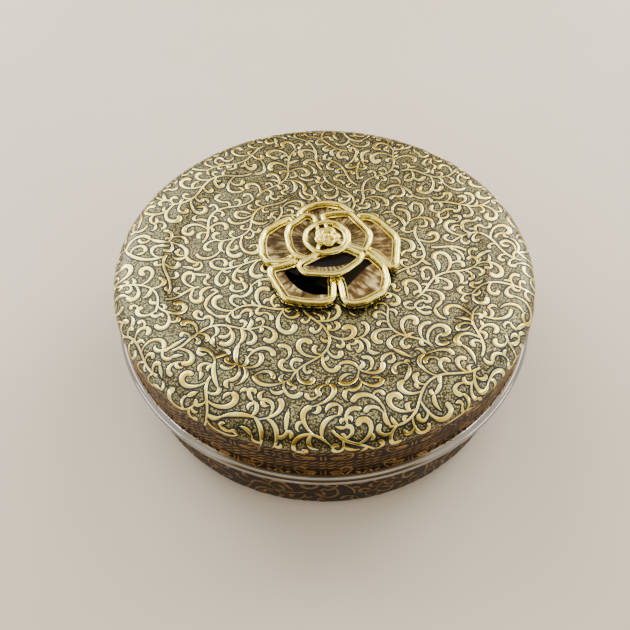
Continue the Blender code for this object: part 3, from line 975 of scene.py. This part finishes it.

# %% [markdown]
# The knob is a cast zinc rose. Every petal is a plate with a low floor and a fat round rim; the
# rims catch the light, and the floors were darkened before the rims were polished, with painted
# shade that makes them darker still towards the middle. The outlines below are the petals' corners
# in mm, seen from above, with the front of the box at the bottom.
# Petals of a cast rose follow no formula, so their corners are given one by one and then rounded.

# %% Rose outlines
ROSE_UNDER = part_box("rose_knob")[0].z / MM
HEART_CENTRE = (1.5, 2.5)
HEART_RADIUS, HEART_CORNERS = 11, 10
OUTER_PETALS = {
    "back": [(-9.5, 12), (-13, 20.5), (-10, 26), (-4, 29), (2, 30), (9, 28.3), (14.5, 23), (13, 12)],
    "left": [(-8, 9), (-15, 20), (-21, 16.5), (-27.5, 10), (-28.7, 4), (-27.5, -6), (-24, -10.3),
             (-16, -10), (-8, -4)],
    "lower_left": [(-8, -4), (-16, -9), (-24, -11.5), (-23.5, -17), (-16.5, -30), (-8, -32),
                   (1, -32.5), (5.5, -29.5), (5.5, -20), (2, -8)],
    "lower_right": [(2, -8), (6, -22), (7, -30.5), (11, -33), (17, -32), (26, -26), (28, -18),
                    (27, -11), (21, -3.5), (9, -2)],
    "right": [(9, -2), (21, -4), (28.5, -13.8), (32, -12), (34, 5), (32, 9), (26, 17.5),
              (22, 20.7), (15, 21), (8, 9)],
}
MIDDLE_PETALS = {
    "left": [(-3, 17.5), (-9, 19), (-16.5, 11), (-17.5, 5.5), (-16, -2.5), (-13.5, -7.5),
             (-8, -10.5), (-3, -10), (0, 0.5)],
    "upper": [(-2, 18), (5, 20), (13, 20), (18, 12.5), (22, 6), (21, -0.5), (18, -6), (12, -3.5),
              (2, 1.5)],
    "lower": [(-11, -11), (-11.5, -15), (-8, -19), (0, -19.5), (6.5, -19.5), (11, -16.5),
              (17, -10.5), (18, -6), (10, -1.5), (-3, -5.5)],
}
# Where a petal dives under the next layer, its bronze floor stops, and the plate under it shows,
# painted black as the shadow in the deep.
SHORT_FLOORS = {
    "lower_left": [(-16, -10.6), (-15.8, -13), (-13.4, -17.6), (-9.5, -22.4), (-4, -25.2), (2, -25),
                   (4.4, -23), (5.2, -26), (5, -29), (1, -31.6), (-8, -31.2), (-16, -29.2),
                   (-22.6, -17), (-23.2, -12.2)],
    "lower_right": [(8.6, -21.8), (15.6, -12.6), (19.6, -8.2), (24, -7.6), (26.3, -11.2), (27.2, -18),
                    (25.4, -25.4), (17, -31.2), (11, -32.2), (7.8, -30)],
}
SHORT_MIDDLE_FLOORS = {
    "lower": [(-10.4, -11.8), (-5, -11.8), (0, -12.6), (6, -12), (12, -9.8), (15.2, -6.8),
              (16.4, -10.2), (10.6, -15.8), (6.3, -18.7), (0, -18.7), (-7.6, -18.2), (-10.8, -14.8)],
}


def round_heart(angle, radius):
    """A point round the heart's centre."""
    return HEART_CENTRE[0] + radius * math.cos(angle), HEART_CENTRE[1] + radius * math.sin(angle)


HEART = [round_heart(math.radians(18 + 360 / HEART_CORNERS * i), HEART_RADIUS)
         for i in range(HEART_CORNERS)]


print("petals:", len(OUTER_PETALS), "outer and", len(MIDDLE_PETALS), "middle")

# %% [markdown]
# The casting has no sharp corners in plan, so each corner is turned into a small curve. The same
# outline, drawn in by some tenths of a millimetre, then gives the rim, the inner line and the plate.

# %% Rounding and drawing in


def rounded(corners, radius, steps=4):
    """The closed outline with each corner turned into a small curve."""
    points = []
    for i, corner in enumerate(corners):
        here = Vector(corner)
        ends = []
        for other in (corners[i - 1], corners[(i + 1) % len(corners)]):
            side = Vector(other) - here
            ends.append(here + side * min(0.45, radius / side.length))
        for k in range(steps + 1):
            t = k / steps
            points.append(tuple(ends[0] * (1 - t) ** 2 + here * 2 * t * (1 - t) + ends[1] * t * t))
    return points


def drawn_in(outline, by):
    """The closed outline moved inwards by this much; a negative value moves it outwards."""
    area = sum(a[0] * b[1] - b[0] * a[1] for a, b in zip(outline, outline[1:] + outline[:1]))
    sign = 1 if area > 0 else -1
    moved = []
    for i, point in enumerate(outline):
        along_side = (Vector(outline[(i + 1) % len(outline)]) - Vector(outline[i - 1])).normalized()
        inward = Vector((-along_side.y, along_side.x)) * sign
        moved.append(tuple(Vector(point) + inward * by))
    return moved


# %% [markdown]
# A rim is a round bar bent along its petal's outline: a curve with a round bevel, made a mesh. The
# plate under it is the outline filled and extruded down, and it lies lower than the rim's middle, so
# it reads as a sunk floor. An inset would sink it too, but it folds over at tight corners.

# %% Petal tools


def metres(points, height):
    """Plan points in mm at a height in mm over the rose's underside, as places in metres."""
    return [(x * MM, y * MM, (ROSE_UNDER + height) * MM) for x, y in points]


def bar(name, places, radius, closed=True, material=None, rounds=3):
    """A round bar of this radius in mm along the places."""
    deselect_all()
    curve = bpy.data.curves.new(name, "CURVE")
    curve.dimensions = "3D"
    curve.bevel_depth = radius * MM
    curve.bevel_resolution = rounds
    curve.use_fill_caps = True
    spline = curve.splines.new("POLY")
    spline.points.add(len(places) - 1)
    for point, place in zip(spline.points, places):
        point.co = (*place, 1)
    spline.use_cyclic_u = closed
    obj = bpy.data.objects.new(name, curve)
    bpy.context.scene.collection.objects.link(obj)
    obj.select_set(True)
    bpy.context.view_layer.objects.active = obj
    bpy.ops.object.convert(target="MESH")
    obj = bpy.context.object
    bpy.ops.object.shade_smooth()
    if material:
        obj.data.materials.append(material)
    return obj


def plate(name, outline, bottom, top, sides, floor_finish):
    """A solid plate between two heights in mm. Its top is the petal's floor."""
    obj = draw_outline(name, metres(outline, top), closed=True)
    bpy.ops.mesh.select_all(action="SELECT")
    bpy.ops.mesh.edge_face_add()
    bpy.ops.mesh.normals_make_consistent(inside=False)
    bpy.ops.mesh.extrude_region_move(TRANSFORM_OT_translate={"value": (0, 0, (bottom - top) * MM)})
    bpy.ops.mesh.select_all(action="SELECT")
    bpy.ops.mesh.normals_make_consistent(inside=False)
    bpy.ops.object.mode_set(mode="OBJECT")
    give_materials(obj, [sides, floor_finish], lambda c, n: 1 if n.z > 0.9 else 0)
    return obj


# %% [markdown]
# A petal is built like the real one looks: a fat rim, a fine raised line inside it, and a floor. The
# two front petals and the lower middle one dive under their neighbours, so their floors are short
# and stand over a plate that is painted black as the shadow in the deep.

# %% Petals
BLACK_DEPTH, BRONZE_DEPTH, SHORT_DEPTH = 1.25, 0.85, 0.8    # mm from a rim's middle to the floors
LINE_DEPTH, LINE_RADIUS = 0.45, 0.36
PLATE_GAP = 0.15                      # mm from a rim's outside to its plate's edge


def petal(name, corners, bottom, top, rim, short_floor):
    """A plate, its rim with a middle at the top height, and a fine inner line. With a short floor,
    the plate is painted black as the shadow in a deep, and the bronze floor covers a part of it."""
    shape = rounded(corners, 2.4)
    edge = drawn_in(shape, PLATE_GAP)
    # A short floor's plate is painted black as the shadow under the next layer.
    if short_floor:
        parts = [plate(name, edge, bottom - 0.6, top - BLACK_DEPTH, gold, black)]
    else:
        parts = [plate(name, edge, bottom - 0.4, top - BRONZE_DEPTH, gold, bronze)]
    parts.append(bar(name + "_rim", metres(drawn_in(shape, rim), top), rim, material=gold))
    parts.append(bar(name + "_line", metres(drawn_in(shape, 2.55 * rim), top - LINE_DEPTH), LINE_RADIUS,
                     material=gold, rounds=1))
    if short_floor:
        floor_shape = drawn_in(rounded(short_floor, 2.0), rim * 0.8)
        parts.append(plate(name + "_floor", floor_shape, bottom - 0.4, top - SHORT_DEPTH, bronze, bronze))
    return parts


def join(name, parts):
    """One object out of several, with its shading smooth up to sharp corners."""
    deselect_all()
    for part in parts:
        part.select_set(True)
    bpy.context.view_layer.objects.active = parts[0]
    bpy.ops.object.join()
    obj = bpy.context.object
    obj.name = name
    obj.data.name = name
    bpy.ops.object.shade_smooth_by_angle(angle=math.radians(40))
    print(name, sum(len(face.vertices) - 2 for face in obj.data.polygons), "triangles")
    return obj


# %% [markdown]
# Bright gold plate on cast zinc is smooth and yellow, a little wavy from the casting, so its
# reflections wobble. The floors keep a dark bronze wash that was brushed outwards in streaks: half
# mirror, half brown, with painted shade that darkens them near the middle and low down. The deep
# gaps are painted matt black as shadow, and reflect almost nothing.

# %% Rose finishes


def gold_plate():
    """A clear yellow mirror, a little uneven."""
    material, tree, sockets, place = new_material("bright_gold_plate_on_cast_zinc", Metallic=1.0,
                                                  Roughness=0.11)
    waves = add_node(tree, "TexNoise", {"Vector": place, "Scale": 1 / (3 * MM), "Detail": 3.0})
    add_node(tree, "ValToRGB", {0: waves}, stops=[(0.35, "#EAD864"), (0.65, "#FFF5A8")],
             to=sockets["Base Color"])
    add_node(tree, "Bump", {"Height": waves, "Strength": 0.2, "Distance": 0.2 * MM},
             to=sockets["Normal"])
    return material


def bronze_wash_and_painted_shade():
    """A half dull brown metal with pale brush marks that run outwards, and painted shade near the middle.
    """
    material, tree, sockets, place = new_material("dark_bronze_brushed_and_painted_shade", Metallic=0.85,
                                                  Roughness=0.34)
    x, y, z = add_node(tree, "SeparateXYZ", {0: place}).node.outputs
    flat = add_node(tree, "CombineXYZ", {0: x, 1: y})
    reach = add_node(tree, "VectorMath", {0: flat}, out="Value", operation="LENGTH")
    # Brush marks run outwards: the direction from the middle varies fast, the distance slowly.
    ray = add_node(tree, "VectorMath", {0: flat}, operation="NORMALIZE")
    along_ray = add_node(tree, "Math", {0: reach, 1: 0.012 / MM}, operation="MULTIPLY")
    lift = add_node(tree, "CombineXYZ", {2: along_ray})
    brushed = add_node(tree, "VectorMath", {0: ray, 1: lift}, operation="ADD")
    streaks = add_node(tree, "TexNoise", {"Vector": brushed, "Scale": 15.0, "Detail": 4.0})
    cloud = add_node(tree, "TexNoise", {"Vector": place, "Scale": 1 / (6 * MM), "Detail": 4.0})
    both = add_node(tree, "Math", {0: streaks, 1: cloud}, operation="MULTIPLY")
    tone = add_node(tree, "ValToRGB", {0: both},
                    stops=[(0.14, "#34250F"), (0.25, "#6C5534"), (0.37, "#CFBC8C")])
    # Painted shade: the floor is mixed towards a near-black brown near the middle and low down, where a
    # petal dives under the next layer.
    weight = 3.0                      # how much more a mm of height counts than a mm of distance
    height = add_node(tree, "Math", {0: z, 1: weight, 2: reach}, operation="MULTIPLY_ADD")
    floor_level = weight * (ROSE_UNDER + 2.6)
    unshaded_share = add_node(tree, "MapRange", {0: height, 1: (floor_level + 15) * MM,
                                             2: (floor_level + 29) * MM, 3: 0.12, 4: 1.0})
    add_node(tree, "Mix", {0: unshaded_share, 6: colour("#170F09"), 7: tone}, data_type="RGBA", out=2,
             to=sockets["Base Color"])
    add_node(tree, "Bump", {"Height": streaks, "Strength": 0.25, "Distance": 0.1 * MM},
             to=sockets["Normal"])
    return material


def painted_shadow_black():
    """Matt black, painted as the shadow in a deep gap, so that the gap looks deep."""
    material, tree, sockets, place = new_material("black_painted_shadow_in_gaps", Roughness=0.75,
                                                  Specular_IOR_Level=0.15)
    cloud = add_node(tree, "TexNoise", {"Vector": place, "Scale": 1 / (2 * MM), "Detail": 4.0})
    add_node(tree, "ValToRGB", {0: cloud}, stops=[(0.3, "#040303"), (0.8, "#120D0A")],
             to=sockets["Base Color"])
    return material


gold = gold_plate()
bronze = bronze_wash_and_painted_shade()
black = painted_shadow_black()

# %% [markdown]
# The rose is put together from the outside in, each layer a little higher, on a turned back with a
# short neck that stands on the lid. Petals of a layer differ a little in height, so that where two
# rims meet, one lies over the other. The heart holds a turned bud in two wavy rings.

# %% Rose
LAYERS = [      # name, petals, short floors, underside, first rim's height, step up, rim's radius
    ("outer_", OUTER_PETALS, SHORT_FLOORS, 2.3, 3.3, 0.12, 1.32),
    ("middle_", MIDDLE_PETALS, SHORT_MIDDLE_FLOORS, 2.8, 6.0, 0.15, 1.2),
]
HEART_FOOT, HEART_FLOOR, HEART_RIM = 3.6, 5.9, 7.0
BUD_LOBES = 5
BUD_PROFILE = [(0, 6.0), (5.0, 6.0), (5.0, 7.4), (3.4, 7.9), (2.2, 8.0), (1.3, 8.1), (1.1, 8.7),
               (0.6, 9.05), (0, 9.1)]
BACK_PROFILE = [(0, 0), (8.4, 0), (9, 0.5), (9, 1.8), (10.5, 2.1), (17, 2.2), (17, 2.32), (0, 2.32)]


def wavy_ring(radius, depth, start, height, count=60):
    """A ring round the heart's centre whose radius swings in and out once for each lobe."""
    turns = [2 * math.pi * i / count for i in range(count)]
    return metres([round_heart(a, radius + depth * math.cos(BUD_LOBES * a + start)) for a in turns],
                  height)


def over_lid(profile):
    """A profile in mm over the rose's underside, as (r, z) in metres."""
    return [(r * MM, (ROSE_UNDER + z) * MM) for r, z in profile]


rose_parts = []
for layer, petals, short_floors, bottom, first, step, rim in LAYERS:
    for number, (side, corners) in enumerate(petals.items()):
        rose_parts += petal(layer + side, corners, bottom, first + step * number, rim,
                            short_floors.get(side))
heart = rounded(HEART, 2.2)
heart_fold = [round_heart(math.radians(70 - 16 * i), 7.6 + 0.05 * i) for i in range(10)]
rose_parts += [
    plate("heart", drawn_in(heart, PLATE_GAP), HEART_FOOT, HEART_FLOOR, gold, bronze),
    bar("heart_rim", metres(drawn_in(heart, 1.1), HEART_RIM), 1.22, material=gold),
    bar("bud_ring", wavy_ring(4.6, 0.45, 0.4, 7.7), 0.85, material=gold),
    bar("bud_inner", wavy_ring(2.6, 0.35, 2.0, 8.3), 0.62, material=gold),
    bar("heart_fold", metres(heart_fold, HEART_RIM - 0.1), 0.6, closed=False, material=gold),
]
bud = spin_profile("bud", over_lid(BUD_PROFILE), 40, smooth=60,
                   centre=[place * MM for place in HEART_CENTRE])
bud.data.materials.append(gold)
rose_parts.append(bud)
back = spin_profile("rose_back", over_lid(BACK_PROFILE), 64)
# The back's upward faces are painted black as the shadow seen between the petals.
give_materials(back, [gold, black], lambda c, n: 1 if n.z > 0.8 else 0)
rose_parts.append(back)
rose = join("rose", rose_parts)

# %% [markdown]
# The cups are spun from thin stainless sheet with a rolled rim, so each is a turned shape. One is
# modelled in the middle of the box and copied to the six places round it, each copy with its own
# mesh. Each also gets its own finish, because the lathe's rings go round its own middle.

# %% Cups
cup_low, cup_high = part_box("cup_centre")
CUP_RIM = cup_high.z
CUP_RADIUS = cup_high.x
CUP_FOOT = cup_low.z
CUP_BEAD = 0.7 * MM
CUP_SHEET = 0.6 * MM
CUP_CORNER = 4 * MM                   # radius of the rounded bottom edge
FOOT_RADIUS = CUP_RADIUS - 4.7 * MM
CUP_LIFT = 0.5 * MM                   # the middle of a cup's bottom stands clear


def cup_profile():
    """From the middle of the foot, up the flared wall, over the rim and back inside."""
    corner = (FOOT_RADIUS - CUP_CORNER, CUP_FOOT + CUP_CORNER)
    bead = (CUP_RADIUS - CUP_BEAD, CUP_RIM - CUP_BEAD)
    inner = CUP_CORNER - CUP_SHEET
    line = [(0, CUP_FOOT + CUP_LIFT), (14 * MM, CUP_FOOT + CUP_LIFT), (16 * MM, CUP_FOOT)]
    line += arc(corner, (CUP_CORNER, CUP_CORNER), -90, -6, 10)
    line += [(CUP_RADIUS - 2.6 * MM, CUP_RIM - 14 * MM), (CUP_RADIUS - 1.5 * MM, CUP_RIM - 3 * MM)]
    line += arc(bead, (CUP_BEAD, CUP_BEAD), -130, 150, 14)
    line += [(CUP_RADIUS - 2.15 * MM, CUP_RIM - 3 * MM), (CUP_RADIUS - 3.2 * MM, CUP_RIM - 14 * MM)]
    line += arc(corner, (inner, inner), -6, -90, 10)
    line += [(16 * MM, CUP_FOOT + CUP_SHEET), (14 * MM, CUP_FOOT + 1.1 * MM), (0, CUP_FOOT + 1.1 * MM)]
    return line


cup_pieces = {"cup_centre": spin_profile("centre_cup", cup_profile(), 96)}
for i in range(1, 7):
    low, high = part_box(f"cup_{i}")
    deselect_all()
    cup_pieces["cup_centre"].select_set(True)
    bpy.context.view_layer.objects.active = cup_pieces["cup_centre"]
    bpy.ops.object.duplicate()
    cup = bpy.context.object
    cup.name = f"outer_cup_{i}"
    bpy.ops.transform.translate(value=((low.x + high.x) / 2, (low.y + high.y) / 2, 0))
    bpy.ops.object.transform_apply(location=True, rotation=False, scale=False)
    cup_pieces[f"cup_{i}"] = cup
for node, cup in cup_pieces.items():
    low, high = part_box(node)
    middle = ((low.x + high.x) / 2, (low.y + high.y) / 2)
    cup.data.materials.append(polished(f"spun_stainless_{node}", "#A4A6AA", 0.2, 0.6, middle))
print("cups:", len(cup_pieces), "of radius", round(CUP_RADIUS / MM, 1), "mm")

# %% [markdown]
# The little spoon is pressed from sheet and polished. The model's own solid already has its shape, so
# it is copied rather than made again: the copy's loose triangles are merged, its flat stretches are
# joined into larger faces, and its shading is smoothed up to its sharp edges.

# %% Spoon
deselect_all()
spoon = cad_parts["spoon"].copy()
spoon.data = spoon.data.copy()
spoon.name = "pressed_spoon"
spoon.data.name = "pressed_spoon"
spoon.parent = None
bpy.context.scene.collection.objects.link(spoon)
spoon.select_set(True)
bpy.context.view_layer.objects.active = spoon
for key in list(spoon.keys()):       # the copy carries the node's own marks
    del spoon[key]
bpy.ops.object.mode_set(mode="EDIT")
bpy.ops.mesh.select_all(action="SELECT")
bpy.ops.mesh.remove_doubles(threshold=0.01 * MM)
bpy.ops.mesh.dissolve_limited(angle_limit=math.radians(1))
bpy.ops.mesh.quads_convert_to_tris()
bpy.ops.mesh.tris_convert_to_quads()
bpy.ops.mesh.normals_make_consistent(inside=False)
bpy.ops.object.mode_set(mode="OBJECT")
bpy.ops.object.shade_smooth_by_angle(angle=math.radians(50))
spoon.data.materials.clear()
spoon.data.materials.append(polished("polished_stainless_spoon", "#B4B6BA", 0.14, 0.7))
print("spoon:", len(spoon.data.polygons), "faces")

# %% [markdown]
# A pan-head screw holds the knob from inside, over a washer. Both are plain plated steel, duller than
# the cups. The head is turned, and a cross is cut into it with two thin blocks. Its thread is a stack
# of fine ridges, as the eye sees a thread: a helix of that size looks the same.

# %% Screw and washer
screw_low, screw_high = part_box("knob_screw")
washer_low, washer_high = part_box("knob_washer")
HEAD = screw_high.y                   # radius of the screw's head
HEAD_TOP = washer_low.z - 0.3 * MM
DOME = 1.4 * MM
THREAD, CORE, TIP = 1.85 * MM, 1.5 * MM, 1.4 * MM     # radii
PITCH = 0.8 * MM
CROSS = (3.6 * MM, 0.8 * MM, 2.2 * MM)
WASHER_HOLE, WASHER_RADIUS = 2.15 * MM, 6 * MM
CHAMFER = 0.1 * MM


def screw_profile():
    """From the middle of the dome, round the head and up the thread to the tip."""
    line = [(0, screw_low.z)]
    line += [(HEAD * math.sin(a), screw_low.z + DOME * (1 - math.cos(a)))
             for a in [math.radians(15 * i) for i in range(1, 7)]]
    line += [(HEAD, HEAD_TOP), (THREAD, HEAD_TOP)]
    z = HEAD_TOP + PITCH
    while z + PITCH < screw_high.z:
        line += [(CORE, z), (THREAD, z + PITCH / 2)]
        z += PITCH
    return line + [(TIP, screw_high.z), (0, screw_high.z)]


def washer_profile():
    """A flat ring with its four edges broken."""
    low, high = washer_low.z, washer_high.z
    inner, outer = WASHER_HOLE + CHAMFER, WASHER_RADIUS - CHAMFER
    return [(WASHER_HOLE, low + CHAMFER), (inner, low), (outer, low), (WASHER_RADIUS, low + CHAMFER),
            (WASHER_RADIUS, high - CHAMFER), (outer, high), (inner, high), (WASHER_HOLE, high - CHAMFER)]


screw = spin_profile("pan_head_screw", screw_profile(), 48, smooth=30)
for turned in (45, 135):
    deselect_all()
    bpy.ops.mesh.primitive_cube_add(size=1, location=(0, 0, screw_low.z + 0.3 * MM),
                                    rotation=(0, 0, math.radians(turned)))
    blade = bpy.context.object
    blade.scale = CROSS
    bpy.ops.object.transform_apply(location=True, rotation=True, scale=True)
    deselect_all()
    screw.select_set(True)
    bpy.context.view_layer.objects.active = screw
    cut = screw.modifiers.new("cross", "BOOLEAN")
    cut.operation = "DIFFERENCE"
    cut.object = blade
    cut.solver = "EXACT"
    bpy.ops.object.modifier_apply(modifier=cut.name)
    bpy.data.objects.remove(blade)
bpy.ops.object.shade_smooth_by_angle(angle=math.radians(30))
screw.data.materials.append(polished("zinc_plated_steel_screw", "#9C9A8E", 0.3, 0.3, light="#DAD8CC"))
washer = spin_profile("flat_washer", washer_profile(), 64, closed=True, smooth=50)
washer.data.materials.append(polished("plain_steel_washer", "#86888C", 0.34, 0.35, light="#C4C6C8"))
print("screw:", len(screw.data.polygons), "faces; washer:", len(washer.data.polygons), "faces")

# %% [markdown]
# Each piece rides on the body that carries it, so it moves with the lid, the base or its own cup.
# Beside each piece, the list names the model's material that it stands for. A piece that replaces a
# node of the model hides that node.

# %% Ride and replace
for piece, body, material_slot in [(lid, "lid", "lid_sheet"), (lid_gilt, "lid", "lid_sheet"),
                                   (lid_ink, "lid", "lid_sheet"), (bands, "lid", "lid_sheet"),
                                   (base, "base", "base_sheet"), (wall_gilt, "base", "base_sheet"),
                                   (wall_ink, "base", "base_sheet"), (rose, "lid", "gold_plate"),
                                   (screw, "lid", "screw_steel"), (washer, "lid", "washer_steel"),
                                   (spoon, "spoon", "spoon_steel")]:
    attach(piece, body)
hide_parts("lid")
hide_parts("base")
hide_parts("rose_knob")
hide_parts("knob_screw")
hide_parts("knob_washer")
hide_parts("spoon")
for node, cup in cup_pieces.items():
    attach(cup, node)
    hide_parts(node)
